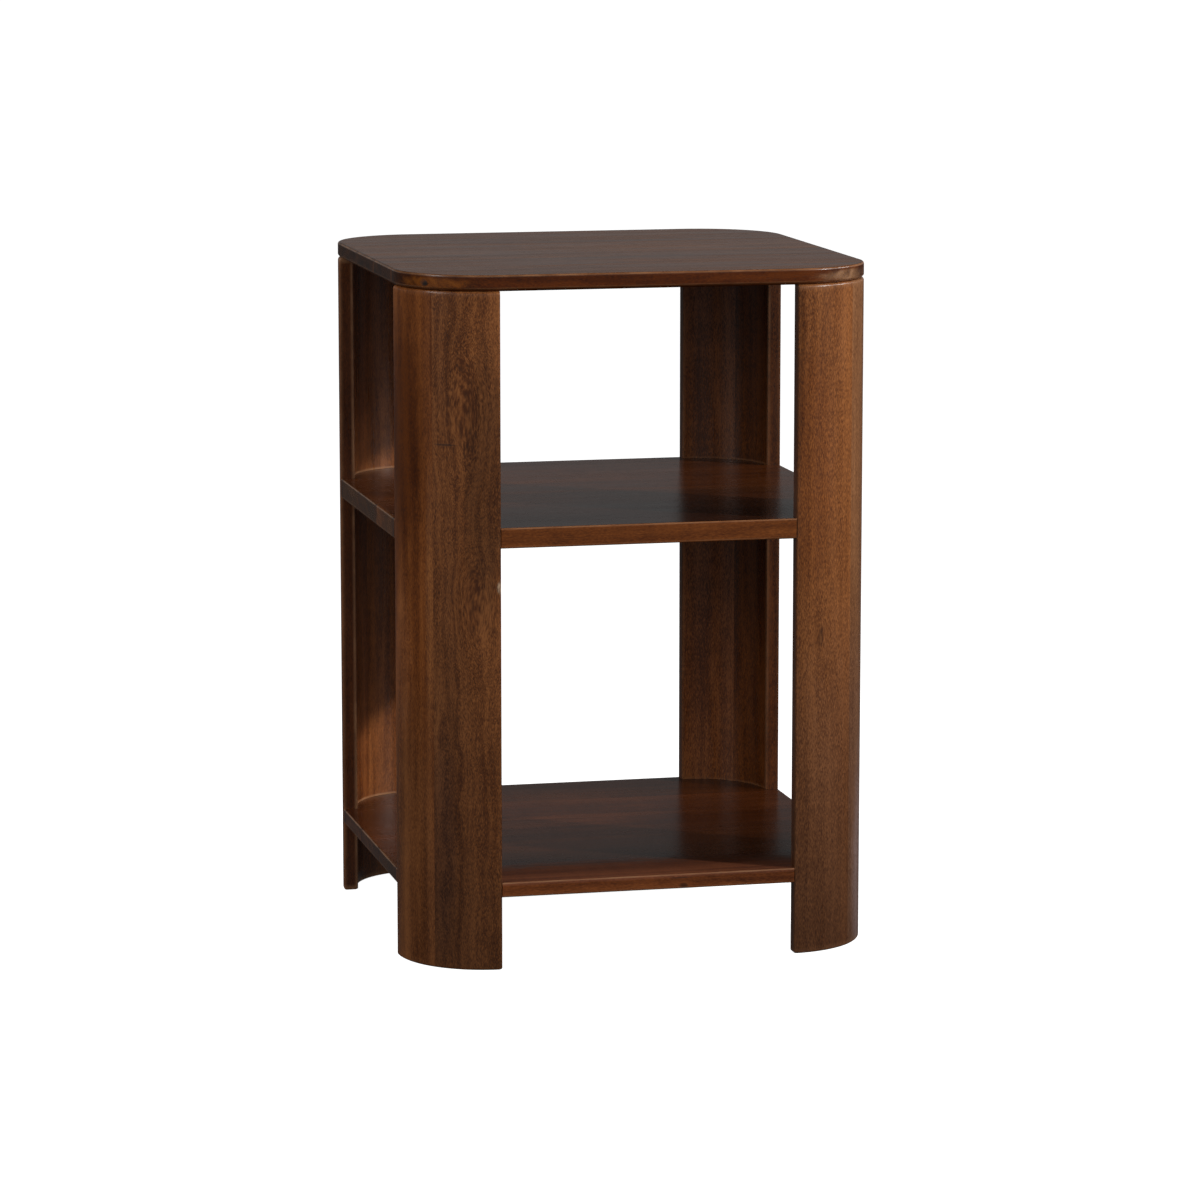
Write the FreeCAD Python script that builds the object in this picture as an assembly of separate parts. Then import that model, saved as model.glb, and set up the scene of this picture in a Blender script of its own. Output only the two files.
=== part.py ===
import FreeCAD, Part
import math
import os

# Open nightstand of solid wood: a square top with round corners on four quarter-round legs,
# and two shelves let in between the legs. Every panel is glued up from boards with the grain
# along X, and every leg from two upright staves.
# Millimetres, +Z up, +X to the right, front towards -Y, origin on the floor under the middle.

# Overall size
WIDTH = 450.0
DEPTH = 450.0
HEIGHT = 650.0

# Wood thicknesses
TOP_THICKNESS = 15.0
MIDDLE_SHELF_THICKNESS = 19.0
BOTTOM_SHELF_THICKNESS = 14.0
LEG_WALL = 14.0

# Outer radius of the quarter-round legs, and of the top's corners above them
CORNER_RADIUS = 84.0

# Upper faces of the shelves above the floor
MIDDLE_SHELF_LEVEL = 416.5
BOTTOM_SHELF_LEVEL = 83.0

# Boards of a panel: the front and back ones reach this far past the ends of the legs,
# so that no glued edge meets a leg, and these ones share the width between them
BOARD_PAST_LEG = 6.0
INNER_BOARDS = 3

# Rounded arrises of the top, the shelves and the upright ends of the legs
TOP_ARRIS = 2.0
SHELF_ARRIS = 1.5
LEG_END_ARRIS = 1.5

# Chamfers along the V groove under the top, on the top and on the legs, and round the feet
TOP_GROOVE_CHAMFER = 3.0
LEG_GROOVE_CHAMFER = 2.0
FOOT_CHAMFER = 2.0

# Housings round the hollow of a leg that the corners of the shelves are glued into
HOUSING_DEPTH = 5.0
GLUE_LINE = 0.1

# Dowels between the legs and the top, the room in their holes, and the wood left over them
DOWEL_DIAMETER = 6.0
DOWEL_LENGTH = 30.0
DOWEL_SIDE_ROOM = 0.05
DOWEL_END_ROOM = 1.0
DOWEL_COVER = 4.0

# Sizes that follow from those above
LEG_HEIGHT = HEIGHT - TOP_THICKNESS
HOLLOW_RADIUS = CORNER_RADIUS - LEG_WALL
HOUSING_RADIUS = HOLLOW_RADIUS + HOUSING_DEPTH
SHELF_CORNER_RADIUS = HOUSING_RADIUS - GLUE_LINE
SHELF_EDGE_INSET = CORNER_RADIUS + GLUE_LINE
OUTER_BOARD_WIDTH = CORNER_RADIUS + BOARD_PAST_LEG
INNER_BOARD_WIDTH = (DEPTH - 2 * OUTER_BOARD_WIDTH) / INNER_BOARDS
DOWEL_HOLE_RADIUS = DOWEL_DIAMETER / 2 + DOWEL_SIDE_ROOM
DOWEL_HOLE_LENGTH = DOWEL_LENGTH + 2 * DOWEL_END_ROOM

# A corner is named by its side (+1 right, -1 left) and its end (+1 back, -1 front)
SIDES = {1: "right", -1: "left"}
ENDS = {1: "back", -1: "front"}
CORNERS = [(side, end) for side in SIDES for end in ENDS]

QUARTER_TURN = math.pi / 2
EIGHTH_TURN = math.pi / 4
UP = FreeCAD.Vector(0, 0, 1)
TOLERANCE = 1e-6


def corner_point(corner, radius, angle, level=0.0):
    """Point round a corner's axis; the angle runs from the nightstand's side to its front or back."""
    side, end = corner
    x = WIDTH / 2 - CORNER_RADIUS + radius * math.cos(angle)
    y = DEPTH / 2 - CORNER_RADIUS + radius * math.sin(angle)
    return FreeCAD.Vector(side * x, end * y, level)


def corner_arc(corner, radius, start, finish):
    """Edge round a corner's axis from one angle to another."""
    angles = (start, (start + finish) / 2, finish)
    return Part.Arc(*[corner_point(corner, radius, angle) for angle in angles]).toShape()


def line(start, finish):
    """Straight edge between two points."""
    return Part.LineSegment(start, finish).toShape()


def outside_lines(inset):
    """Straight edges of the plan's four sides, each stopping short of the corners by the inset."""
    x = WIDTH / 2
    y = DEPTH / 2
    lines = []
    for sign in (1, -1):
        ends = [FreeCAD.Vector(along * (x - inset), sign * y, 0) for along in (1, -1)]
        sides = [FreeCAD.Vector(sign * x, along * (y - inset), 0) for along in (1, -1)]
        lines += [line(*ends), line(*sides)]
    return lines


def prism(edges, level, height):
    """Solid of a closed outline, raised to a level and carried straight up."""
    outline = Part.Wire(Part.sortEdges(edges)[0])
    solid = Part.Face(outline).extrude(UP * height)
    solid.translate(UP * level)
    return solid


def is_upright(edge):
    """True for an edge parallel to Z."""
    box = edge.BoundBox
    return box.XLength < TOLERANCE and box.YLength < TOLERANCE


def is_level(edge, level):
    """True for an edge that lies in the level plane at a height."""
    box = edge.BoundBox
    return abs(box.ZMin - level) < TOLERANCE and abs(box.ZMax - level) < TOLERANCE


def is_outside_line(edge):
    """True for a level edge that lies along the front, the back or a side."""
    box = edge.BoundBox
    along_side = box.XLength < TOLERANCE and abs(box.Center.x) > WIDTH / 2 - TOLERANCE
    along_end = box.YLength < TOLERANCE and abs(box.Center.y) > DEPTH / 2 - TOLERANCE
    return (along_side or along_end) and not is_upright(edge)


def is_outer_rim(edge, level):
    """True for the outer arc of a leg's end."""
    is_arc = isinstance(edge.Curve, Part.Circle)
    return is_level(edge, level) and is_arc and edge.Curve.Radius > CORNER_RADIUS - TOLERANCE


def round_edges(solid, radius, is_chosen):
    """Rounds the edges of a solid that a test picks out."""
    return solid.makeFillet(radius, [edge for edge in solid.Edges if is_chosen(edge)])


def chamfer_edges(solid, width, is_chosen):
    """Chamfers the edges of a solid that a test picks out."""
    return solid.makeChamfer(width, [edge for edge in solid.Edges if is_chosen(edge)])


def ring_sector(corner, inner, outer, level, height):
    """Quarter of a ring round a corner's axis, raised to a level and carried straight up."""
    edges = [corner_arc(corner, radius, 0.0, QUARTER_TURN) for radius in (inner, outer)]
    for angle in (0.0, QUARTER_TURN):
        edges.append(line(corner_point(corner, inner, angle), corner_point(corner, outer, angle)))
    return prism(edges, level, height)


def dowel_seats(corner):
    """Lower ends of the two upright dowels between a leg and the top, each in the middle of a stave."""
    level = HEIGHT - DOWEL_COVER - DOWEL_END_ROOM - DOWEL_LENGTH
    radius = CORNER_RADIUS - LEG_WALL / 2
    angles = (EIGHTH_TURN / 2, QUARTER_TURN - EIGHTH_TURN / 2)
    return [corner_point(corner, radius, angle, level) for angle in angles]


def dowel(seat):
    """Wooden dowel that stands on its seat."""
    return Part.makeCylinder(DOWEL_DIAMETER / 2, DOWEL_LENGTH, seat)


def drill(solid, seats):
    """Drills the holes of dowels, with room round each of them and at both ends."""
    starts = [seat - UP * DOWEL_END_ROOM for seat in seats]
    return solid.cut([Part.makeCylinder(DOWEL_HOLE_RADIUS, DOWEL_HOLE_LENGTH, start) for start in starts])


def housing(corner, level, thickness):
    """Cut in the hollow of a leg for the corner of a shelf, which sits on the cut's lower wall."""
    height = thickness + GLUE_LINE
    return ring_sector(corner, HOLLOW_RADIUS - HOUSING_DEPTH, HOUSING_RADIUS, level - thickness, height)


def leg(corner):
    """Leg glued up and shaped: a quarter of a hollow cylinder, chamfered, housed and drilled."""
    solid = ring_sector(corner, HOLLOW_RADIUS, CORNER_RADIUS, 0.0, LEG_HEIGHT)
    solid = chamfer_edges(solid, FOOT_CHAMFER, lambda edge: is_level(edge, 0.0))
    solid = chamfer_edges(solid, LEG_GROOVE_CHAMFER, lambda edge: is_outer_rim(edge, LEG_HEIGHT))
    solid = round_edges(solid, LEG_END_ARRIS, is_upright)
    housings = [
        housing(corner, MIDDLE_SHELF_LEVEL, MIDDLE_SHELF_THICKNESS),
        housing(corner, BOTTOM_SHELF_LEVEL, BOTTOM_SHELF_THICKNESS),
    ]
    return drill(solid.cut(housings), dowel_seats(corner))


def stave(whole_leg, corner, start, finish):
    """Stave of a leg between two angles; its glued edge lies in a plane through the corner's axis."""
    reach = 2 * CORNER_RADIUS
    points = [corner_point(corner, 0.0, 0.0)]
    points += [corner_point(corner, reach, angle) for angle in (start, finish)]
    edges = [line(points[i - 1], points[i]) for i in range(len(points))]
    return whole_leg.common(prism(edges, 0.0, LEG_HEIGHT))


def top():
    """Square panel with round corners, flush with the legs that it stands on."""
    edges = [corner_arc(corner, CORNER_RADIUS, 0.0, QUARTER_TURN) for corner in CORNERS]
    panel = prism(edges + outside_lines(CORNER_RADIUS), LEG_HEIGHT, TOP_THICKNESS)
    panel = round_edges(panel, TOP_ARRIS, lambda edge: is_level(edge, HEIGHT))
    panel = chamfer_edges(panel, TOP_GROOVE_CHAMFER, lambda edge: is_level(edge, LEG_HEIGHT))
    return drill(panel, all_dowel_seats)


def shelf(level, thickness):
    """Panel let in between the legs: flush with them outside, its round corners in their housings."""
    overrun = math.asin(GLUE_LINE / SHELF_CORNER_RADIUS)
    start = -overrun
    finish = QUARTER_TURN + overrun
    edges = outside_lines(SHELF_EDGE_INSET)
    for corner in CORNERS:
        side, end = corner
        beside = FreeCAD.Vector(side * WIDTH / 2, end * (DEPTH / 2 - SHELF_EDGE_INSET), 0)
        ahead = FreeCAD.Vector(side * (WIDTH / 2 - SHELF_EDGE_INSET), end * DEPTH / 2, 0)
        edges.append(line(beside, corner_point(corner, SHELF_CORNER_RADIUS, start)))
        edges.append(corner_arc(corner, SHELF_CORNER_RADIUS, start, finish))
        edges.append(line(corner_point(corner, SHELF_CORNER_RADIUS, finish), ahead))
    panel = prism(edges, level - thickness, thickness)
    return round_edges(panel, SHELF_ARRIS, is_outside_line)


def boards(panel):
    """Boards of a panel, cut along the glued edges between them, from front to back."""
    widths = [OUTER_BOARD_WIDTH] + [INNER_BOARD_WIDTH] * INNER_BOARDS + [OUTER_BOARD_WIDTH]
    front = -DEPTH / 2
    pieces = []
    for width in widths:
        strip = Part.makeBox(WIDTH, width, HEIGHT, FreeCAD.Vector(-WIDTH / 2, front, 0))
        pieces.append(panel.common(strip))
        front += width
    return pieces


def write(name, solids):
    """Writes the solids of a sub-part to its own file."""
    shape = solids[0] if len(solids) == 1 else Part.makeCompound(solids)
    shape.exportStep(os.path.join("parts", name + ".step"))


os.makedirs("parts", exist_ok=True)
all_dowel_seats = [seat for corner in CORNERS for seat in dowel_seats(corner)]

panels = {
    "top": top(),
    "middle_shelf": shelf(MIDDLE_SHELF_LEVEL, MIDDLE_SHELF_THICKNESS),
    "bottom_shelf": shelf(BOTTOM_SHELF_LEVEL, BOTTOM_SHELF_THICKNESS),
}
for name, panel in panels.items():
    for number, board in enumerate(boards(panel), start=1):
        write(f"{name}_board_{number}", board.Solids)

for corner in CORNERS:
    side, end = corner
    leg_name = f"{ENDS[end]}_{SIDES[side]}_leg"
    whole_leg = leg(corner)
    write(f"{leg_name}_side_stave", stave(whole_leg, corner, 0.0, EIGHTH_TURN).Solids)
    write(f"{leg_name}_{ENDS[end]}_stave", stave(whole_leg, corner, EIGHTH_TURN, QUARTER_TURN).Solids)

write("top_dowels", [dowel(seat) for seat in all_dowel_seats])
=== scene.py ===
"""Looks of an open nightstand of stained solid wood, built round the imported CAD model.

Metres, +Z up, +X to the right, front towards -Y, origin on the floor under the middle.
"""

import functools
import math

import bpy
import numpy as np
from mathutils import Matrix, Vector


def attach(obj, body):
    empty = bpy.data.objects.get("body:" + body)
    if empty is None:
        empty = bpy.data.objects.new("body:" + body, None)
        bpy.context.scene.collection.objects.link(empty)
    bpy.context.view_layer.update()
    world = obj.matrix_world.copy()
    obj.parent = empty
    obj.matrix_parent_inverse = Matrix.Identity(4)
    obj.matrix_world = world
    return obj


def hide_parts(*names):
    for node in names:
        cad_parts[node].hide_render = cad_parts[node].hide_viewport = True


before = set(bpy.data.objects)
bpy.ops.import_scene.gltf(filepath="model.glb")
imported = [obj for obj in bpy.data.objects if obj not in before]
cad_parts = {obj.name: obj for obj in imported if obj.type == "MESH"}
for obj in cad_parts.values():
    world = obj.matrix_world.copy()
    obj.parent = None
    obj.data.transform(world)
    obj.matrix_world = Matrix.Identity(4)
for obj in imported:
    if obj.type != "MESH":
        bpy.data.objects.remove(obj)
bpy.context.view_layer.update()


# The legs: four quarters of a hollow cylinder, each glued up from two upright staves that meet in the
# middle of the curve. Solid wood with the grain upright, stained walnut brown and lacquered satin. The
# shelves' corners sit in housings cut round the hollow, and two dowels in each upper end hold the top.

HALF_WIDTH = 0.225
LEG_RADIUS = 0.084
LEG_WALL = 0.014
LEG_HEIGHT = 0.635
CORNER_AXIS = HALF_WIDTH - LEG_RADIUS
HOLLOW_RADIUS = LEG_RADIUS - LEG_WALL
JOINT_ANGLE = math.pi / 4
END_ARRIS = 0.0015
FOOT_ARRIS = 0.0022
RIM_ARRIS = 0.0026

# Chamfer of a glued edge, and how much of the arrises' lighter colour, worn and a painted highlight,
# the outer arris takes beside the inner one.
GLUE_EDGE = 0.00006
OUTER_WEAR_AND_HIGHLIGHT = 0.3

# Levels of the shelves' upper faces and their thicknesses, which the housings take up.
SHELVES = {"bottom_shelf": (0.083, 0.014), "middle_shelf": (0.4165, 0.019)}
GLUE_LINE = 0.0001
HOUSINGS = [(level - thickness, level + GLUE_LINE) for level, thickness in SHELVES.values()]
HOUSING_DEPTH = 0.005
HOUSING_RADIUS = HOLLOW_RADIUS + HOUSING_DEPTH

# Height in which the hollow steps out to a housing, and width of the line of painted light round the
# hollow just over a shelf.
HOUSING_WALL = 0.0001
PAINTED_LIGHT_LINE = 0.0026

# How finely a stave is divided, and how far its plain sections stay from the ends and the housings.
ARRIS_POINTS = 7
ARC_POINTS = 26
FREE_END_SHARES = (0.22, 0.5, 0.78)
SHAFT_LEVELS = 80
SHAFT_MARGIN = 0.006
HOUSING_MARGIN = 0.001
TOUCHING = 1e-6
SHARP_ANGLE = math.radians(32)


def drawn_in(distance, radius):
    """How far an arris draws a face in, at a distance from the end: its radius less the circle's height."""
    left = np.clip(radius - distance, 0.0, radius)
    return radius - np.sqrt(radius ** 2 - left ** 2)


def stave_levels():
    """Heights of a stave's sections: close at the foot, the housings and the rim, else evenly spaced."""
    turns = np.linspace(0.0, math.pi / 2, ARRIS_POINTS)
    foot = FOOT_ARRIS * (1.0 - np.cos(turns))
    rim = LEG_HEIGHT - RIM_ARRIS * (1.0 - np.cos(turns))
    low, high = np.transpose(HOUSINGS)
    walls = [low, low + HOUSING_WALL, high - HOUSING_WALL, high]
    lit_line = [high + PAINTED_LIGHT_LINE / 2, high + PAINTED_LIGHT_LINE]
    shaft = np.linspace(SHAFT_MARGIN, LEG_HEIGHT - SHAFT_MARGIN, SHAFT_LEVELS)
    above = shaft[:, None] > low - HOUSING_MARGIN
    beneath = shaft[:, None] < high + PAINTED_LIGHT_LINE + HOUSING_MARGIN
    shaft = shaft[~(above & beneath).any(axis=1)]
    return np.unique(np.concatenate([foot, *walls, *lit_line, rim, shaft]))


def arc(p, q, radius, start, finish, steps):
    """Points of a circle about a centre, at the given shares of the way from one angle to another."""
    angle = start + (finish - start) * steps
    return p + radius * np.cos(angle), q + radius * np.sin(angle)


def stave_section(outer, hollow, end, arris):
    """Outline of a stave at every level, as p outwards along its free end and q from that end inwards.

    Counter-clockwise: the rounded outer arris, the outer arc to the glued edge, the glued edge, the hollow
    arc back, the inner arris and the free end. An arris is an arc about a point that lies its own radius
    inside both the free end and the leg's face. Arrays have a row for each level. The other results say how
    much of the arrises' lighter colour, worn and a painted highlight, each point takes, how far it belongs
    to the free end, and whether it is on the hollow.
    """
    share = np.linspace(0.0, 1.0, ARRIS_POINTS)[None, :]
    sweep = np.linspace(0.0, 1.0, ARC_POINTS)[None, :]
    centre_q = end + arris
    outer_p = np.sqrt((outer - arris) ** 2 - centre_q ** 2)
    inner_p = np.sqrt((hollow + arris) ** 2 - centre_q ** 2)
    outer_lean = np.arctan2(centre_q, outer_p)
    inner_lean = np.arctan2(centre_q, inner_p)
    glue_radii = np.hstack([outer - GLUE_EDGE, hollow + GLUE_EDGE])

    outer_arris = arc(outer_p, centre_q, arris, -math.pi / 2, outer_lean, share)
    outer_face = arc(0.0, 0.0, outer, outer_lean, JOINT_ANGLE - GLUE_EDGE / outer, sweep[:, 1:])
    glued_edge = arc(0.0, 0.0, glue_radii, JOINT_ANGLE, JOINT_ANGLE, 0.0)
    hollow_face = arc(0.0, 0.0, hollow, JOINT_ANGLE - GLUE_EDGE / hollow, inner_lean, sweep[:, :-1])
    inner_arris = arc(inner_p, centre_q, arris, inner_lean - math.pi, -math.pi / 2, share)
    first = inner_arris[0][:, -1:]
    last = outer_arris[0][:, :1]
    free_p = first + (last - first) * np.array(FREE_END_SHARES)
    free_end = free_p, np.broadcast_to(end, free_p.shape)

    outline = {"outer arris": outer_arris, "outer face": outer_face, "glued edge": glued_edge,
               "hollow": hollow_face, "inner arris": inner_arris, "free end": free_end}
    p, q = (np.hstack(points) for points in zip(*outline.values()))
    part = np.repeat(list(outline), [points.shape[1] for points, _ in outline.values()])
    worn_and_highlit = OUTER_WEAR_AND_HIGHLIGHT * (part == "outer arris") + (part == "inner arris")
    on_end = (part == "free end").astype(float)
    on_end[part == "outer arris"] = 1.0 - share[0]
    on_end[part == "inner arris"] = share[0]
    return p, q, worn_and_highlit, on_end, part == "hollow"


def skin(rings, flip):
    """Quads between rings of vertex numbers, each ring closed on itself, wound to face outwards."""
    after = np.roll(rings, -1, axis=1)
    quads = np.stack([rings[:-1], after[:-1], after[1:], rings[1:]], axis=-1).reshape(-1, 4)
    return quads[:, ::-1] if flip else quads


def wooden_piece(name, points, faces, surface, material):
    """Object of a closed mesh at the origin, smooth but for sharp edges. The surface's attributes say how
    much of an arris, of an edge and of end grain each vertex is."""
    mesh = bpy.data.meshes.new(name)
    mesh.from_pydata(points.tolist(), [], faces)
    for kind, amount in surface.items():
        attribute = mesh.attributes.new(kind, "FLOAT", "POINT")
        attribute.data.foreach_set("value", amount.astype(np.float32).ravel())
    mesh.shade_smooth()
    mesh.set_sharp_from_angle(angle=SHARP_ANGLE)
    mesh.materials.append(material)
    piece = bpy.data.objects.new(name, mesh)
    bpy.context.scene.collection.objects.link(piece)
    return piece


def stave(name, side, end, at_side, material):
    """Stave of the leg at a corner: its section carried up the leg, with the foot and the rim drawn in. The
    hollow steps out to the housings, and a line of painted light runs round it just over each shelf."""
    levels = stave_levels()[:, None]
    foot = drawn_in(levels, FOOT_ARRIS)
    rim = drawn_in(LEG_HEIGHT - levels, RIM_ARRIS)
    walls = [(low, low + HOUSING_WALL, high - HOUSING_WALL, high) for low, high in HOUSINGS]
    radii = [(HOLLOW_RADIUS, HOUSING_RADIUS, HOUSING_RADIUS, HOLLOW_RADIUS)] * len(HOUSINGS)
    hollow = np.interp(levels, np.ravel(walls), np.ravel(radii))
    p, q, worn_and_highlit, on_end, on_hollow = stave_section(LEG_RADIUS - foot - rim, hollow + foot, foot, END_ARRIS)
    x, y = (p, q) if at_side else (q, p)
    z = np.broadcast_to(levels, p.shape)
    points = np.stack([side * (CORNER_AXIS + x), end * (CORNER_AXIS + y), z], axis=-1)

    at_foot = levels < FOOT_ARRIS + TOUCHING
    at_rim = levels > LEG_HEIGHT - RIM_ARRIS - TOUCHING
    over_shelf = levels - np.array([high for _, high in HOUSINGS])
    # Painted light: a lit line round the hollow just over each shelf.
    lit_line = (over_shelf > -TOUCHING) & (over_shelf < PAINTED_LIGHT_LINE / 2 + TOUCHING)
    lit_line = lit_line.any(axis=1, keepdims=True) & on_hollow
    surface = {
        "arris": np.maximum(worn_and_highlit, at_foot | at_rim | lit_line),
        "edge": np.broadcast_to(on_end, p.shape),
        "end_grain": np.zeros(p.shape),
    }
    rings = np.arange(p.size).reshape(p.shape)
    flip = side * end * (1 if at_side else -1) < 0
    caps = (rings[0], rings[-1, ::-1]) if flip else (rings[0, ::-1], rings[-1])
    faces = skin(rings, flip).tolist() + [cap.tolist() for cap in caps]
    return wooden_piece(name, points.reshape(-1, 3), faces, surface, material)


def put(tree, kind, inputs, output=0, **options):
    """Adds a shader node, fills its inputs with values or other nodes' outputs, and returns one output."""
    node = tree.nodes.new("ShaderNode" + kind)
    for option, value in options.items():
        setattr(node, option, value)
    for socket, value in inputs.items():
        if isinstance(value, bpy.types.NodeSocket):
            tree.links.new(value, node.inputs[socket])
        else:
            node.inputs[socket].default_value = value
    return node.outputs[output] if node.outputs else node


def ramp(tree, share, stops):
    """Colour that runs in straight lines between stops, each a share from 0 to 1 and its colour."""
    node = tree.nodes.new("ShaderNodeValToRGB")
    tree.links.new(share, node.inputs[0])
    elements = node.color_ramp.elements
    for element, (place, colour) in zip(elements, (stops[0], stops[-1])):
        element.position = place
        element.color = (*colour, 1.0)
    for place, colour in stops[1:-1]:
        elements.new(place).color = (*colour, 1.0)
    return node.outputs[0]


# Shares of the stain's colour in the darkest and lightest grain, in pores and on end grain, and the colours
# of arrises, rubbed bare and with a painted highlight, and of a knot.
DARK_GRAIN = (0.46, 0.40, 0.40)
LIGHT_GRAIN = (1.60, 1.75, 1.90)
PORE_SHARE = 0.22
END_GRAIN = (0.48, 0.60, 0.80)
RUBBED_AND_HIGHLIGHT = (0.36, 0.17, 0.08)
KNOT = (0.008, 0.004, 0.003)

# Noise patterns, as cells in a metre: along the grain first, then the two ways across it.
WANDER_CELLS = (2.6, 9.0, 9.0)
CURL_CELLS = (26.0, 45.0, 45.0)
STREAK_CELLS = (4.0, 170.0, 170.0)
CLOUD_CELLS = (5.0, 45.0, 45.0)
RIPPLE_CELLS = (75.0, 14.0, 14.0)
FIBRE_CELLS = (330.0, 1500.0, 1500.0)
BORDER_CELLS = (60.0, 300.0, 300.0)
WEAR_AND_HIGHLIGHT_CELLS = (45.0, 45.0, 45.0)
RING_CELLS = 140.0
NOISE_MIDDLE = 0.5
WANDER_REACH = 0.022

# Limits between which a smooth step runs: in shares of a cell, in metres, in a spot's half sizes, in noise.
PORE_LIMITS = (0.15, 0.45)
FOOT_LIMITS = (0.0, 0.5)
SPOT_LIMITS = (0.45, 1.05)
KNOT_LIMITS = (0.4, 1.3)
PULL_LIMITS = (0.0, 3.0)
WEAR_AND_HIGHLIGHT_LIMITS = (0.35, 0.65)
SHEEN_LIMITS = (0.3, 0.7)
KNOT_PULL = 0.75
BORDER_RAGGED = 0.5
LEAST_WEAR_AND_HIGHLIGHT = 0.6

# Shine and relief of the lacquer, which pores, dull spots and fibres change.
SHINE = 0.35
PORE_ROUGHNESS = 0.12
DULL_ROUGHNESS = 0.4
FIBRE_HEIGHT = 0.35
RELIEF_DEPTH = 0.0003


def stained_wood(name, upright, heart, stain, edge=(1.0, 1.0, 1.0), rings=0.6, streak=0.8, mottle=1.0,
                 ripple=0.3, curl=0.004, fibres=0.9, pore=(0.014, 0.0016), ink=0.4, foot=1.0, polish=0.30,
                 patchy=0.04, relief=0.2, wear_and_highlight=0.3, knots=(), shades=(), tints=()):
    """Solid stained wood, the same all through the piece.

    The growth rings are one-dimensional noise of the distance from a heart line along the grain, which slow
    noise makes wander and quicker noise curls. Streaks, mottling and fibres are noise stretched along the
    grain, and ripples noise stretched across it. Together they are the figure, which darkens or lightens the
    stain. Pores are the middles of long random cells, as dark as the ink says. Towards the foot the colour is
    multiplied by the foot's share: painted shade where it is below 1, painted light where it is over 1.
    Knots draw the grain in round them and may be dark. Shades are spots where the colour is multiplied by a
    share: some are the wood's uneven colour, others painted shade, light or reflection. Tints are spots where
    the figure has another colour and less shine, one of them a painted reflection. Arrises are lighter,
    partly worn and partly a painted highlight. The heart says where the piece lies in its log: how far along
    it, and from its heart line.
    """
    material = bpy.data.materials.new(name)
    material.use_nodes = True
    tree = material.node_tree
    tree.nodes.clear()

    def combine(operation, a, b):
        """Two numbers, joined by an operation."""
        return put(tree, "Math", {0: a, 1: b}, operation=operation)

    def vector(operation, a, b=(0.0, 0.0, 0.0), output=0):
        """Two vectors, joined by an operation."""
        return put(tree, "VectorMath", {0: a, 1: b}, output, operation=operation)

    def mix(amount, a, b, blend="MIX"):
        """Colour a where the amount is 0, and b, or a blended with b, where it is 1."""
        return put(tree, "Mix", {0: amount, 6: a, 7: b}, 2, data_type="RGBA", blend_type=blend)

    def span(value, limits, start, finish):
        """Smooth step from start to finish, while the value runs from one limit to the other."""
        low, high = limits
        inputs = {"Value": value, "From Min": low, "From Max": high, "To Min": start, "To Max": finish}
        return put(tree, "MapRange", inputs, interpolation_type="SMOOTHSTEP")

    def noise(where, cells, detail=2.0, output="Fac"):
        """Noise of a place, with so many cells in a metre along each axis."""
        scaled = vector("MULTIPLY", where, cells)
        return put(tree, "TexNoise", {"Vector": scaled, "Scale": 1.0, "Detail": detail}, output)

    def sway(where, cells, reach):
        """Place moved across the grain by noise, by up to half the reach either way."""
        offset = vector("SUBTRACT", noise(where, cells, 1.0, "Color"), (NOISE_MIDDLE,) * 3)
        return vector("ADD", where, vector("MULTIPLY", offset, (0.0, reach, reach)))

    def shaded(amount, under, share):
        """Colour that stays where the amount is 0, and is multiplied by the share where it is 1."""
        return mix(amount, under, mix(1.0, under, (*share, 1.0), "MULTIPLY"))

    def spot(centre, sizes):
        """Offset from a spot's middle, and the distance in half sizes, which noise makes ragged."""
        offset = vector("SUBTRACT", place, centre)
        distance = vector("LENGTH", vector("DIVIDE", offset, sizes), output="Value")
        uneven = combine("MULTIPLY", combine("SUBTRACT", ragged, NOISE_MIDDLE), BORDER_RAGGED)
        return offset, combine("ADD", distance, uneven)

    place = put(tree, "TexCoord", {}, "Object")
    ragged = noise(place, BORDER_CELLS[::-1] if upright else BORDER_CELLS)
    bent = place
    dark = 0.0
    for centre, sizes, depth in knots:
        offset, distance = spot(centre, sizes)
        pull = span(distance, PULL_LIMITS, KNOT_PULL, 0.0)
        bent = vector("SUBTRACT", bent, vector("MULTIPLY", offset, pull))
        dark = combine("MAXIMUM", span(distance, KNOT_LIMITS, depth, 0.0), dark)

    turn = (0.0, math.pi / 2, 0.0) if upright else (0.0, 0.0, 0.0)
    lengthwise = {"Vector": bent, "Location": heart, "Rotation": turn}
    grain = put(tree, "Mapping", lengthwise, vector_type="POINT")
    grain = sway(grain, WANDER_CELLS, WANDER_REACH)
    grain = sway(grain, CURL_CELLS, curl)

    from_heart = vector("LENGTH", vector("MULTIPLY", grain, (0.0, 1.0, 1.0)), output="Value")
    growth = {"W": from_heart, "Scale": RING_CELLS, "Detail": 2.0}
    ring = put(tree, "TexNoise", growth, "Fac", noise_dimensions="1D")
    streaks = noise(grain, STREAK_CELLS, 3.0)
    cloud = noise(grain, CLOUD_CELLS)
    ripples = noise(grain, RIPPLE_CELLS)
    fibre = noise(grain, FIBRE_CELLS)
    pore_length, pore_width = pore
    cells = vector("DIVIDE", grain, (pore_length, pore_width, pore_width))
    from_middle = put(tree, "TexVoronoi", {"Vector": cells, "Scale": 1.0}, "Distance")
    pores = span(from_middle, PORE_LIMITS, 1.0, 0.0)

    tone = 0.5
    patterns = ((ring, rings), (streaks, streak), (cloud, mottle), (ripples, ripple), (fibre, fibres))
    for pattern, weight in patterns:
        swing = combine("SUBTRACT", pattern, NOISE_MIDDLE)
        tone = combine("ADD", tone, combine("MULTIPLY", swing, weight))
    figure = ramp(tree, tone, ((0.0, DARK_GRAIN), (0.5, (1.0, 1.0, 1.0)), (1.0, LIGHT_GRAIN)))

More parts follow.
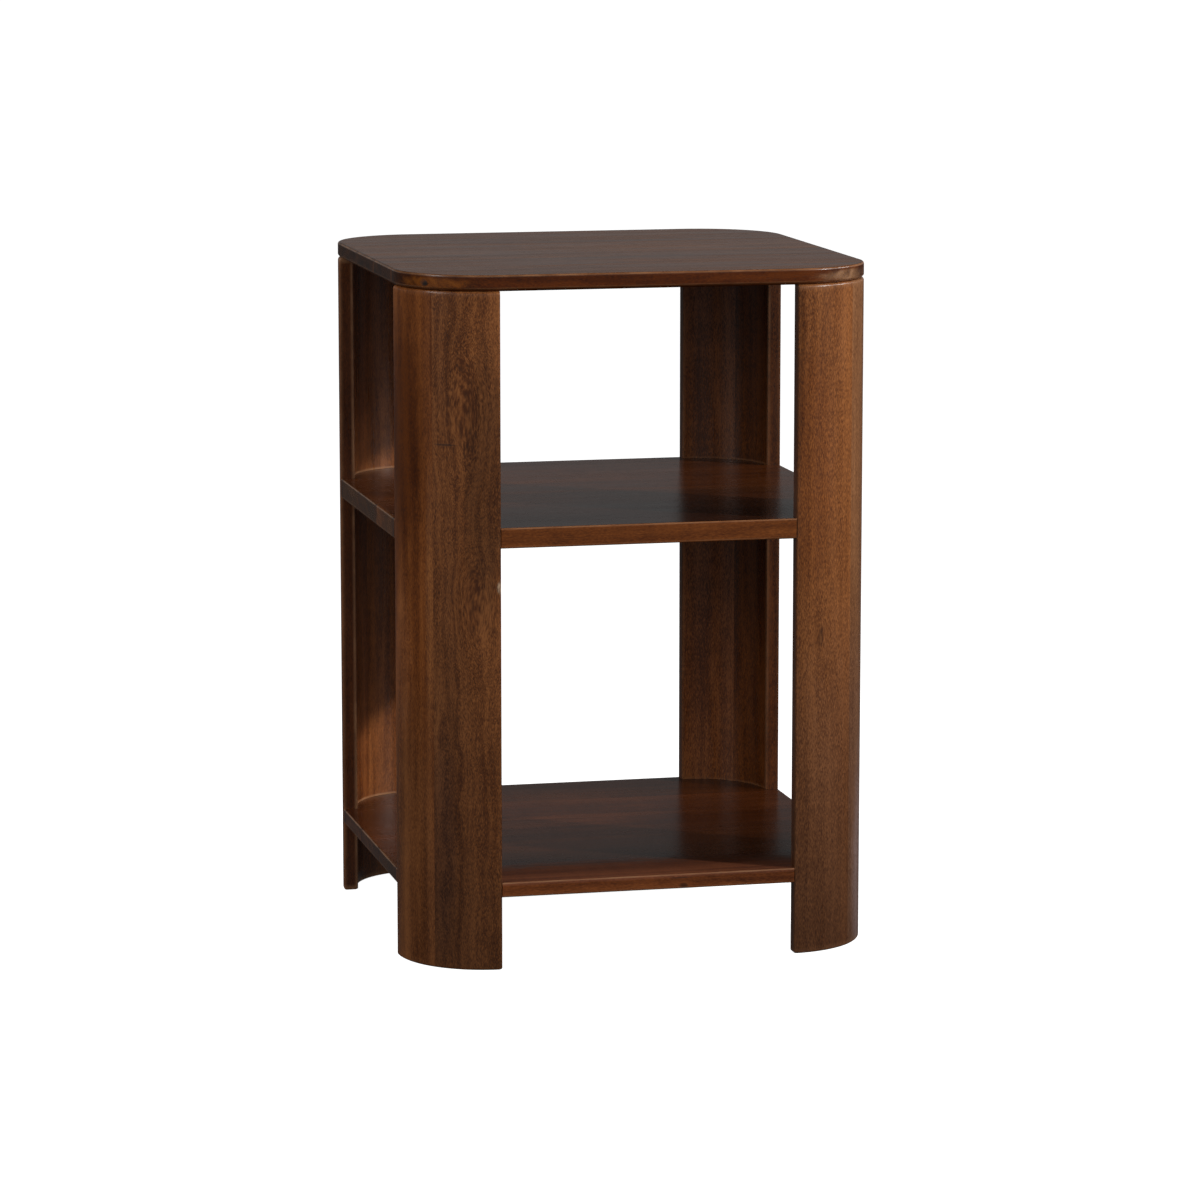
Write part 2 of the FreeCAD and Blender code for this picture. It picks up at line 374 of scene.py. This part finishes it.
    colour = mix(1.0, figure, (*stain, 1.0), "MULTIPLY")
    # Painted shade towards the foot where the foot's share is below 1, painted light where it is over 1.
    height = put(tree, "SeparateXYZ", {"Vector": place}, "Z")
    colour = shaded(span(height, FOOT_LIMITS, 1.0, 0.0), colour, (foot, foot, foot))
    for kind, share in (("edge", edge), ("end_grain", END_GRAIN)):
        colour = shaded(put(tree, "Attribute", {}, "Fac", attribute_name=kind), colour, share)
    pore_colour = [PORE_SHARE * amount for amount in stain]
    colour = mix(combine("MULTIPLY", pores, ink), colour, (*pore_colour, 1.0))
    for centre, sizes, share in shades:
        amount = span(spot(centre, sizes)[1], SPOT_LIMITS, 1.0, 0.0)
        colour = shaded(amount, colour, share)
    dull = 0.0
    for centre, sizes, depth, tint in tints:
        amount = span(spot(centre, sizes)[1], SPOT_LIMITS, depth, 0.0)
        colour = mix(amount, colour, mix(1.0, figure, (*tint, 1.0), "MULTIPLY"))
        dull = combine("MAXIMUM", amount, dull)
    colour = mix(dark, colour, (*KNOT, 1.0))
    arris = put(tree, "Attribute", {}, "Fac", attribute_name="arris")
    # Arrises take a lighter colour: partly wear, partly a painted highlight.
    uneven_wear_and_highlight = span(noise(place, WEAR_AND_HIGHLIGHT_CELLS), WEAR_AND_HIGHLIGHT_LIMITS, LEAST_WEAR_AND_HIGHLIGHT * wear_and_highlight, wear_and_highlight)
    colour = mix(combine("MULTIPLY", arris, uneven_wear_and_highlight), colour, (*RUBBED_AND_HIGHLIGHT, 1.0))

    sheen = span(cloud, SHEEN_LIMITS, polish - patchy, polish + patchy)
    roughness = combine("ADD", sheen, combine("MULTIPLY", pores, PORE_ROUGHNESS * ink))
    roughness = combine("ADD", roughness, combine("MULTIPLY", dull, DULL_ROUGHNESS))
    surface = combine("SUBTRACT", combine("MULTIPLY", fibre, FIBRE_HEIGHT), combine("MULTIPLY", pores, ink))
    bump = put(tree, "Bump", {"Height": surface, "Strength": relief, "Distance": RELIEF_DEPTH})
    lacquer = {"Base Color": colour, "Roughness": roughness, "Normal": bump, "Specular IOR Level": SHINE}
    put(tree, "OutputMaterial", {"Surface": put(tree, "BsdfPrincipled", lacquer)})
    return material


# Marks on the legs, each with its middle and its half sizes. A swirl or knot then says how dark it is,
# a shade what share of the stain's colour is left, and a tint how strong it is and its colour. Some
# shades and one tint are painted shade or a painted reflection, as noted above them.
SWIRLS = (
    ((-0.1740, -0.2180, 0.5230), (0.014, 0.014, 0.035), 0.0),
    ((-0.1640, -0.2217, 0.3450), (0.012, 0.012, 0.030), 0.0),
)
EYE = ((0.1662, -0.2211, 0.3037), (0.003, 0.003, 0.011), 0.45)
OLIVE_BAND = ((-0.2210, -0.1680, 0.500), (0.030, 0.040, 0.150), (0.44, 0.35, 0.12))
PALE_SIDE = ((-0.2225, -0.1600, 0.290), (0.030, 0.022, 0.090), (1.28, 1.42, 2.00))
# Painted reflection: a grey sheen of the pale floor low on the front left leg's side.
LEFT_PAINTED_FLOOR_SHEEN = ((-0.2150, -0.1750, 0.060), (0.050, 0.050, 0.240), (0.85, 0.98, 1.40))
DARK_FLANK = ((-0.1550, -0.2240, 0.455), (0.026, 0.030, 0.150), (0.56, 0.56, 0.56))
DARK_FOOT = ((-0.1940, -0.2060, 0.110), (0.020, 0.020, 0.130), (0.77, 0.78, 0.94))
# A band on the front right leg's front where the colour turns darker and more golden.
GOLDEN_DARKER_BAND = ((0.1560, -0.2235, 0.465), (0.030, 0.030, 0.150), (0.83, 0.74, 0.60))
# Painted shade: the upper part of the front right leg's front stave beside its free end.
PAINTED_SHADE_RIM = ((0.1410, -0.2250, 0.560), (0.010, 0.030, 0.130), (0.66, 0.60, 0.46))
# Painted reflection: a grey sheen of the pale floor low on both staves of the front right leg.
PAINTED_FLOOR_SHEEN = ((0.1900, -0.2000, 0.060), (0.100, 0.100, 0.300), (0.96, 1.03, 1.36))
JOINT_STREAK = ((-0.2030, -0.1985, 0.330), (0.006, 0.007, 0.170), 0.6, (0.300, 0.100, 0.020))
BRANCH_MARK = ((-0.190, -0.209, 0.4935), (0.014, 0.012, 0.0013), 0.7, (0.030, 0.010, 0.004))
CHIP = ((-0.1418, -0.2250, 0.3613), (0.004, 0.004, 0.007), 0.9, (0.42, 0.27, 0.16))
# Painted reflection with a rougher lacquer: a grey sheen of the pale floor along the front right leg's lower
# right edge.
DULL_PAINTED_FLOOR_SHEEN = ((0.2195, -0.1730, 0.050), (0.030, 0.030, 0.170), 0.8, (0.186, 0.117, 0.100))
SCUFF = ((0.2190, 0.1410, 0.6150), (0.005, 0.010, 0.014), 0.40, (0.130, 0.100, 0.085))

# Staves by corner, whether they are at the side, stain, place in the log, and grain with its marks.
LEFT, RIGHT, FRONT, BACK = -1, 1, -1, 1
LEG_END = (0.60, 0.55, 0.50)
# The foot's share paints shade towards the floor, and light on the back right leg. The arrises' share is wear
# and a painted highlight, strongest on the back left leg, where the light reaches it.
STAVES = {
    "front_left_leg_side_stave": (LEFT, FRONT, True, (0.212, 0.060, 0.011), (0.0, 0.260, 0.150), {
        "mottle": 1.5, "fibres": 2.3, "ink": 0.12, "wear_and_highlight": 0.1,
        "shades": (OLIVE_BAND, PALE_SIDE, LEFT_PAINTED_FLOOR_SHEEN), "tints": (JOINT_STREAK,),
    }),
    "front_left_leg_front_stave": (LEFT, FRONT, False, (0.228, 0.074, 0.019), (0.7, 0.155, 0.290), {
        "rings": 1.0, "streak": 1.0, "mottle": 0.9, "ripple": 0.4, "curl": 0.013, "fibres": 3.1,
        "pore": (0.007, 0.0012), "foot": 0.60, "wear_and_highlight": 0.1,
        "knots": SWIRLS, "shades": (DARK_FLANK, DARK_FOOT), "tints": (BRANCH_MARK, CHIP),
    }),
    "front_right_leg_side_stave": (RIGHT, FRONT, True, (0.205, 0.082, 0.030), (1.4, 0.230, -0.150), {
        "rings": 0.4, "streak": 0.4, "mottle": 0.8, "ripple": 0.2, "fibres": 2.1,
        "pore": (0.007, 0.0011), "ink": 0.22, "foot": 0.8,
        "shades": (PAINTED_FLOOR_SHEEN,), "tints": (DULL_PAINTED_FLOOR_SHEEN,),
    }),
    "front_right_leg_front_stave": (RIGHT, FRONT, False, (0.220, 0.072, 0.018), (2.1, 0.270, -0.140), {
        "rings": 0.4, "streak": 0.4, "mottle": 0.8, "ripple": 0.2, "fibres": 2.8,
        "pore": (0.007, 0.0011), "ink": 0.28, "foot": 0.66,
        "knots": (EYE,), "shades": (GOLDEN_DARKER_BAND, PAINTED_SHADE_RIM, PAINTED_FLOOR_SHEEN),
    }),
    "back_left_leg_side_stave": (LEFT, BACK, True, (0.165, 0.047, 0.011), (2.8, -0.120, 0.170), {
        "streak": 1.2, "mottle": 1.6, "fibres": 1.8, "wear_and_highlight": 1.0,
    }),
    "back_left_leg_back_stave": (LEFT, BACK, False, (0.190, 0.058, 0.014), (3.5, -0.140, 0.260), {
        "streak": 1.2, "mottle": 1.6, "fibres": 1.8, "wear_and_highlight": 1.0,
    }),
    "back_right_leg_side_stave": (RIGHT, BACK, True, (0.105, 0.029, 0.005), (4.2, -0.130, -0.150), {
        "streak": 1.1, "mottle": 1.4, "ripple": 0.5, "fibres": 3.0, "foot": 1.7, "tints": (SCUFF,),
    }),
    "back_right_leg_back_stave": (RIGHT, BACK, False, (0.150, 0.046, 0.012), (4.9, -0.150, -0.230), {
        "streak": 1.1, "mottle": 1.4, "ripple": 0.5, "fibres": 3.0, "foot": 1.7,
    }),
}
for node, (side, end, at_side, stain, heart, grain) in STAVES.items():
    finish = stained_wood(node + "_wood", True, heart, stain, LEG_END, **grain)
    piece = stave(node + "_stained", side, end, at_side, finish)
    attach(piece, "root")
    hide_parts(node)


# The shelves: two panels glued up from five boards with the grain from left to right, stained and lacquered
# like the legs. Between the legs their edges are flush with the legs and rounded, and their corners are
# cut round to sit in the legs' housings.

BOARD_COUNT = 5
BOARD_EDGES = np.linspace(HALF_WIDTH, -HALF_WIDTH, BOARD_COUNT + 1)
OUTER_JOINT = BOARD_EDGES[1]
SHELF_CORNER_RADIUS = HOUSING_RADIUS - GLUE_LINE
SHELF_ARRIS = 0.0015
ROUND_POWER = 1.0

# Distances from an arris of the rings on the faces and of those on the edge, the lower arris's share of the
# arrises' lighter colour, worn and a painted highlight, how near a joint an edge counts as glued, and how
# quickly end grain fades where an edge turns to the front.
BESIDE_ARRIS = np.array([0.0027, 0.0021, 0.0015])
EDGE_MARGIN = 0.0008
LOWER_WEAR_AND_HIGHLIGHT = 0.5
NEAR_JOINT = 0.001
END_GRAIN_POWER = 4

# How finely a board is divided.
BOARD_COLUMNS = 41
INNER_ROWS = 13
TONGUE_ROWS = 4
HOUSED_ROWS = 25
STRIP_ROWS = 3


def inner_board_plan(front, back, inset, margin):
    """Plan of a board between two glued edges: a rectangle as rows of half widths, its edges drawn in."""
    glued = min(inset, GLUE_EDGE) + margin
    depth = np.linspace(front - glued, back + glued, INNER_ROWS)
    return np.full_like(depth, HALF_WIDTH - inset - margin), depth


def shelf_edge_plan(inset, margin):
    """Plan of a shelf's front board as rows from front to back: the tongue between the legs, the quarter
    circle in the legs' housings, and the strip behind them that is as wide as the shelf."""
    angle = np.linspace(math.pi / 2, 0.0, HOUSED_ROWS)
    radius = SHELF_CORNER_RADIUS - margin
    beside_leg = CORNER_AXIS - GLUE_LINE - margin
    flush = HALF_WIDTH - inset - margin
    tongue = np.linspace(flush, CORNER_AXIS + radius + GLUE_LINE, TONGUE_ROWS)
    strip = np.linspace(beside_leg, OUTER_JOINT + min(inset, GLUE_EDGE) + margin, STRIP_ROWS)
    half_width = np.concatenate([
        np.full(TONGUE_ROWS, beside_leg), CORNER_AXIS + radius * np.cos(angle), np.full(STRIP_ROWS, flush),
    ])
    depth = np.concatenate([tongue, CORNER_AXIS + radius * np.sin(angle), strip])
    return half_width, depth


def edge_profile(thickness, upper, lower, power):
    """Edge of a board from its upper face to its lower one: how far the arrises draw each ring in, its margin
    on the faces beside them, how far it lies below the upper face, and how much of the arrises' lighter
    colour, worn and a painted highlight, it takes. The upper arris is a quarter circle. The lower one is
    drawn by the sine and cosine raised to a power: 1 gives a quarter circle and 2 a straight chamfer."""
    turns = np.linspace(0.0, math.pi / 2, ARRIS_POINTS)
    side = [upper + EDGE_MARGIN, thickness - lower - EDGE_MARGIN]
    on_face = np.ones_like(BESIDE_ARRIS)
    inset = np.concatenate([
        upper * on_face, upper * (1 - np.sin(turns)), np.zeros_like(side),
        lower * (1 - np.cos(turns) ** power), lower * on_face,
    ])
    margin = np.concatenate([BESIDE_ARRIS, np.zeros(2 * len(turns) + len(side)), BESIDE_ARRIS[::-1]])
    below = np.concatenate([
        0 * on_face, upper * (1 - np.cos(turns)), side,
        thickness - lower * (1 - np.sin(turns) ** power), thickness * on_face,
    ])
    fading = LOWER_WEAR_AND_HIGHLIGHT * np.linspace(1.0, 0.0, ARRIS_POINTS) ** 2
    worn_and_highlit = np.concatenate([0 * on_face, np.sin(2 * turns), np.zeros_like(side), fading, 0 * on_face])
    return inset, margin, below, worn_and_highlit


def board(name, plan, at_back, level, profile, material):
    """Board as its plan carried down its edge: each ring is the plan's outline drawn in by the profile, and
    the first and the last are filled with the rest of the plan's rows, scaled from -1 to 1 across."""
    inset, margin, below, worn_and_highlit = profile
    across = np.sin(np.linspace(-1.0, 1.0, BOARD_COLUMNS) * math.pi / 2)
    half_width, depth = np.moveaxis([plan(*drawn) for drawn in zip(inset, margin)], 1, 0)
    x = half_width[:, :, None] * across
    y = np.broadcast_to((depth if at_back else -depth)[:, :, None], x.shape)
    z = np.broadcast_to((level - below)[:, None, None], x.shape)
    layers, rows, columns = x.shape
    size = rows * columns
    grids = np.stack([x, y, z], axis=-1).reshape(layers, size, 3)

    numbers = np.arange(size).reshape(rows, columns)
    outline = np.concatenate([numbers[0, :-1], numbers[:-1, -1], numbers[-1, :0:-1], numbers[:0:-1, 0]])
    edge = grids[1:-1, outline].reshape(-1, 3)
    points = np.concatenate([grids[0], edge, grids[-1]])
    between = size + np.arange(len(edge)).reshape(layers - 2, len(outline))
    last = size + len(edge)
    rings = np.concatenate([outline[None], between, last + outline[None]])
    corners = (numbers[:-1, :-1], numbers[:-1, 1:], numbers[1:, 1:], numbers[1:, :-1])
    cells = np.stack(corners, axis=-1).reshape(-1, 4)
    upper, lower = (cells[:, ::-1], cells) if at_back else (cells, cells[:, ::-1])
    faces = np.concatenate([upper, lower + last, skin(rings, not at_back)])

    rim_x, rim_y, _ = grids[layers // 2, outline].T
    glued = np.abs(rim_y - BOARD_EDGES[1:-1, None]).min(axis=0) < NEAR_JOINT
    outward = np.stack([np.gradient(rim_y), -np.gradient(rim_x)])
    sideways = outward[0] ** 2 / (outward ** 2).sum(axis=0)
    edge_rings = rings[len(BESIDE_ARRIS):-len(BESIDE_ARRIS)]
    surface = {kind: np.zeros(len(points)) for kind in ("arris", "edge", "end_grain")}
    surface["arris"][rings] = worn_and_highlit[:, None] * ~glued
    surface["edge"][edge_rings] = ~glued
    surface["end_grain"][edge_rings] = sideways ** END_GRAIN_POWER
    return wooden_piece(name, points, faces.tolist(), surface, material)


def panel_board(node, number, edge_plan, level, profile, material):
    """Board of a panel by its number from the front: the first and the last follow the panel's own edge."""
    at_back = number == BOARD_COUNT
    plan = functools.partial(inner_board_plan, *BOARD_EDGES[number - 1:number + 1])
    if number == 1 or at_back:
        plan = edge_plan
    return board(node + "_stained", plan, at_back, level, profile, material)


# Tones of the boards: the stain, and how many times as light it is on the edges.
BOARD_TONES = {
    "dark": ((0.034, 0.010, 0.004), (5.2, 4.8, 2.2)),
    "deep": ((0.045, 0.013, 0.004), (2.5, 2.5, 1.8)),
    "front": ((0.045, 0.013, 0.004), (4.8, 4.4, 3.2)),
    "brown": ((0.081, 0.020, 0.004), (1.6, 1.75, 1.5)),
    "red": ((0.092, 0.022, 0.005), (2.35, 2.6, 2.5)),
}
SHELF_TONES = {
    "bottom_shelf": ("front", "deep", "red", "red", "brown"),
    "middle_shelf": ("dark", "dark", "brown", "brown", "brown"),
}
# How much the shelves' arrises are lightened: wear and a painted highlight.
SHELF_WEAR_AND_HIGHLIGHT = {"bottom_shelf": 1.0, "middle_shelf": 0.75}
SHELF_GRAIN = {"streak": 1.0, "mottle": 0.9, "fibres": 1.3, "ink": 0.25, "patchy": 0.01}
FLAT_LACQUER = {"polish": 0.24, "relief": 0.05}

# Each board comes from further along the log, with its heart line under it and further back.
LOG_STEP = 0.37
HEART_FRONT = 0.11
HEART_STEP = 0.05
HEART_BELOW = 0.10

SHELF_KNOT = ((0.0333, -0.2250, 0.0715), (0.0045, 0.006, 0.0030), 0.7)
KNOT_LINE = ((0.030, -0.2250, 0.0795), (0.012, 0.004, 0.0009), 0.6, (0.030, 0.010, 0.006))
RUBBED_STRIP = ((-0.030, -0.2250, 0.0830), (0.330, 0.085, 0.004), 0.85, (0.260, 0.075, 0.027))
LIGHTER_JOINT = ((0.0, -0.0450, 0.0), (0.600, 0.060, 9.0), (1.55, 1.40, 1.10))
DARKER_JOINT = ((0.0, -0.0450, 0.0), (0.600, 0.060, 9.0), (0.69, 0.75, 0.95))
# Painted shade on the right part of the bottom shelf.
RIGHT_PAINTED_SHADE = ((0.1300, -0.0400, 0.0), (0.105, 0.170, 9.0), (0.66, 0.62, 0.56))
# Painted light on the middle shelf and painted shade on the bottom shelf, in the bay between the left legs.
LEFT_BAY_PAINTED_LIGHT = ((-0.2200, 0.0000, 0.0), (0.060, 0.200, 9.0), (1.26, 1.26, 1.22))
LEFT_BAY_PAINTED_SHADE = ((-0.2200, 0.0000, 0.0), (0.060, 0.200, 9.0), (0.86, 0.76, 0.74))
SHELF_MARKS = {
    "bottom_shelf_board_1": {"knots": (SHELF_KNOT,), "tints": (RUBBED_STRIP, KNOT_LINE)},
    "bottom_shelf_board_2": {"shades": (LIGHTER_JOINT, RIGHT_PAINTED_SHADE, LEFT_BAY_PAINTED_SHADE)},
    "bottom_shelf_board_3": {"shades": (DARKER_JOINT, RIGHT_PAINTED_SHADE, LEFT_BAY_PAINTED_SHADE)},
    "bottom_shelf_board_4": {"shades": (RIGHT_PAINTED_SHADE, LEFT_BAY_PAINTED_SHADE)},
    "middle_shelf_board_2": {"shades": (LIGHTER_JOINT, LEFT_BAY_PAINTED_LIGHT)},
    "middle_shelf_board_3": {"shades": (DARKER_JOINT, LEFT_BAY_PAINTED_LIGHT)},
    "middle_shelf_board_4": {"shades": (LEFT_BAY_PAINTED_LIGHT,)},
}
for shelf, (level, thickness) in SHELVES.items():
    profile = edge_profile(thickness, SHELF_ARRIS, SHELF_ARRIS, ROUND_POWER)
    for number, tone in enumerate(SHELF_TONES[shelf], start=1):
        node = f"{shelf}_board_{number}"
        stain, edge = BOARD_TONES[tone]
        heart = (LOG_STEP * number + level, HEART_FRONT - HEART_STEP * number, HEART_BELOW - level)
        finish = stained_wood(node + "_wood", False, heart, stain, edge, wear_and_highlight=SHELF_WEAR_AND_HIGHLIGHT[shelf],
                              **SHELF_GRAIN, **FLAT_LACQUER, **SHELF_MARKS.get(node, {}))
        piece = panel_board(node, number, shelf_edge_plan, level, profile, finish)
        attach(piece, "root")
        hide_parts(node)


# The dowels that hold the top on the legs: eight turned pegs of plain hardwood, glued into blind holes in the
# legs' upper ends and in the top's underside. They are hidden, so their solids stay and the wood is bare.

DOWEL_COLOUR = (0.46, 0.30, 0.15)
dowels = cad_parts["top_dowels"]
dowels.data.materials.clear()
dowels.data.materials.append(stained_wood("dowel_wood", True, (0.0, 0.0, 0.0), DOWEL_COLOUR, ink=0.2))


# The top: a panel glued up from five boards like the shelves, with round corners flush with the legs. Its
# upper arris is rounded, and its lower one is cut back, which leaves a V groove over the legs.

TOP_THICKNESS = 0.015
TOP_LEVEL = LEG_HEIGHT + TOP_THICKNESS
TOP_ARRIS = 0.002
GROOVE = 0.0030
GROOVE_POWER = 1.7
CORNER_ROWS = 33


def top_edge_plan(inset, margin):
    """Plan of the top's front board as rows from front to back: the corners' quarter circles, whose first
    row is the straight front edge, then the strip behind them that is as wide as the top."""
    angle = np.linspace(math.pi / 2, 0.0, CORNER_ROWS)
    radius = LEG_RADIUS - inset - margin
    flush = CORNER_AXIS + radius
    strip = np.linspace(CORNER_AXIS, OUTER_JOINT + min(inset, GLUE_EDGE) + margin, STRIP_ROWS + 1)[1:]
    half_width = np.concatenate([CORNER_AXIS + radius * np.cos(angle), np.full(STRIP_ROWS, flush)])
    depth = np.concatenate([CORNER_AXIS + radius * np.sin(angle), strip])
    return half_width, depth


TOP_STAIN = (0.120, 0.036, 0.008)
TOP_EDGE = (0.72, 0.47, 0.12)
TOP_GRAIN = {
    "rings": 1.1, "streak": 1.3, "mottle": 1.2, "fibres": 1.5, "ink": 0.25, "patchy": 0.02, "wear_and_highlight": 0.8,
}
TOP_LOG = 5.0
TOP_LOG_STEP = 0.41
TOP_HEART_FRONT = 0.10
TOP_HEART_STEP = 0.04
TOP_HEART_LEVEL = 0.54
EDGE_KNOT = ((-0.2052, -0.1952, 0.6410), (0.0035, 0.0035, 0.0025), 0.95)
KNOT_HALO = ((-0.2065, -0.1940, 0.6420), (0.005, 0.005, 0.004), 0.4, (0.030, 0.011, 0.009))
# The top's front corners: the left one a lighter colour, the right one a painted highlight, a grey sheen of
# the lamps on the right.
PALE_CORNER_AND_PAINTED_HIGHLIGHT = (
    ((-0.2005, -0.2005, 0.6420), (0.050, 0.050, 0.0065), (2.50, 3.40, 5.00)),
    ((0.1950, -0.2060, 0.6420), (0.045, 0.045, 0.0065), (2.10, 5.00, 40.0)),
)
TOP_MARKS = {"top_board_1": {"knots": (EDGE_KNOT,), "shades": PALE_CORNER_AND_PAINTED_HIGHLIGHT, "tints": (KNOT_HALO,)}}
profile = edge_profile(TOP_THICKNESS, TOP_ARRIS, GROOVE, GROOVE_POWER)
for number in range(1, BOARD_COUNT + 1):
    node = f"top_board_{number}"
    heart = (TOP_LOG + TOP_LOG_STEP * number, TOP_HEART_FRONT - TOP_HEART_STEP * number, -TOP_HEART_LEVEL)
    finish = stained_wood(node + "_wood", False, heart, TOP_STAIN, TOP_EDGE,
                          **TOP_GRAIN, **FLAT_LACQUER, **TOP_MARKS.get(node, {}))
    piece = panel_board(node, number, top_edge_plan, TOP_LEVEL, profile, finish)
    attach(piece, "root")
    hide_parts(node)


# The studio: a white floor without an edge in view, the grey glow of a room in front and behind, a spot lamp
# from the front right as the key light, softboxes on the right, on the left and high on the left, and the
# camera at the photograph's viewing angle.

FLOOR_REACH = 40.0
FLOOR_CORNERS = ((-1.0, -1.0, 0.0), (1.0, -1.0, 0.0), (1.0, 1.0, 0.0), (-1.0, 1.0, 0.0))
FLOOR_PAINT = {
    "Base Color": (0.80, 0.80, 0.80, 1.0),
    "Roughness": 0.9,
    "Specular IOR Level": 0.0,
    "Emission Color": (1.0, 1.0, 1.0, 1.0),
    "Emission Strength": 1.0,
}
floor_finish = bpy.data.materials.new("pale_floor")
floor_finish.use_nodes = True
for socket, value in FLOOR_PAINT.items():
    floor_finish.node_tree.nodes["Principled BSDF"].inputs[socket].default_value = value
floor_mesh = bpy.data.meshes.new("floor")
floor_mesh.from_pydata((FLOOR_REACH * np.array(FLOOR_CORNERS)).tolist(), [], [(0, 1, 2, 3)])
floor_mesh.materials.append(floor_finish)
floor = bpy.data.objects.new("floor", floor_mesh)
floor.visible_diffuse = False
floor.visible_glossy = False
floor.visible_shadow = False
bpy.context.scene.collection.objects.link(floor)

# How bright the room is in front and behind, by height from -1, straight down, to 1, straight up.
FRONT_GLOW = (
    (-0.35, 0.05), (-0.25, 0.14), (0.0, 0.14), (0.08, 0.50),
    (0.18, 0.50), (0.22, 1.0), (0.38, 1.0), (0.42, 0.0),
)
BACK_GLOW = ((0.0, 0.05), (0.02, 0.27), (0.10, 0.27), (0.14, 0.155), (0.2, 0.09), (0.4, 0.0))
room = bpy.data.worlds.new("room")
room.use_nodes = True
bpy.context.scene.world = room
walls = room.node_tree
direction = put(walls, "TexCoord", {}, "Generated")
upwards = put(walls, "SeparateXYZ", {"Vector": direction}, "Z")
backwards = put(walls, "SeparateXYZ", {"Vector": direction}, "Y")
share_up = put(walls, "MapRange", {"Value": upwards, "From Min": -1.0, "From Max": 1.0})
front_half, back_half = [
    ramp(walls, share_up, [((1 + height) / 2, (amount, amount, amount)) for height, amount in glow])
    for glow in (FRONT_GLOW, BACK_GLOW)
]
behind = put(walls, "Math", {0: backwards, 1: 0.0}, operation="GREATER_THAN")
light = put(walls, "Mix", {0: behind, 6: front_half, 7: back_half}, 2, data_type="RGBA")
walls.links.new(light, walls.nodes["Background"].inputs["Color"])


def towards(azimuth, elevation):
    """Direction from the nightstand, in degrees: azimuth 0 is the front and 90 the right, elevation is up."""
    turn = math.radians(azimuth)
    rise = math.radians(elevation)
    return Vector((math.sin(turn) * math.cos(rise), -math.cos(turn) * math.cos(rise), math.sin(rise)))


def aimed(name, data, location, target):
    """Object of a lamp or a camera at a place, turned to look at its target."""
    thing = bpy.data.objects.new(name, data)
    thing.location = location
    thing.rotation_euler = (location - target).to_track_quat("Z", "Y").to_euler()
    bpy.context.scene.collection.objects.link(thing)
    return thing


# Softboxes by azimuth, elevation, distance, size and power.
LIGHT_AIM = Vector((0.0, 0.0, 0.4))
SOFTBOXES = {
    "right_softbox": (85.0, 28.0, 2.4, 0.45, 17.0),
    "left_softbox": (-70.0, 22.0, 2.4, 0.8, 6.0),
    "high_softbox": (-85.0, 45.0, 4.0, 1.0, 30.0),
}
for name, (azimuth, elevation, distance, size, power) in SOFTBOXES.items():
    softbox = bpy.data.lights.new(name, "AREA")
    softbox.size = size
    softbox.energy = power
    aimed(name, softbox, LIGHT_AIM + distance * towards(azimuth, elevation), LIGHT_AIM)

KEY_AZIMUTH = 55.0
KEY_ELEVATION = 24.3
KEY_DISTANCE = 6.0
KEY_AIM = Vector((0.12, -0.12, 0.58))
key_lamp = bpy.data.lights.new("key_lamp", "SPOT")
key_lamp.energy = 965.0
key_lamp.shadow_soft_size = 0.12
key_lamp.spot_size = math.radians(13.6)
key_lamp.spot_blend = 1.0
aimed("key_lamp", key_lamp, LIGHT_AIM + KEY_DISTANCE * towards(KEY_AZIMUTH, KEY_ELEVATION), KEY_AIM)

CAMERA_AZIMUTH = -13.183
CAMERA_ELEVATION = 9.259
CAMERA_DISTANCE = 4.686
CAMERA_AIM = Vector((0.00497, 0.0, 0.3088))
lens = bpy.data.cameras.new("camera")
lens.sensor_width = 36.0
lens.lens = 144.17
viewpoint = CAMERA_AIM + CAMERA_DISTANCE * towards(CAMERA_AZIMUTH, CAMERA_ELEVATION)
bpy.context.scene.camera = aimed("camera", lens, viewpoint, CAMERA_AIM)
bpy.context.scene.view_settings.view_transform = "Standard"
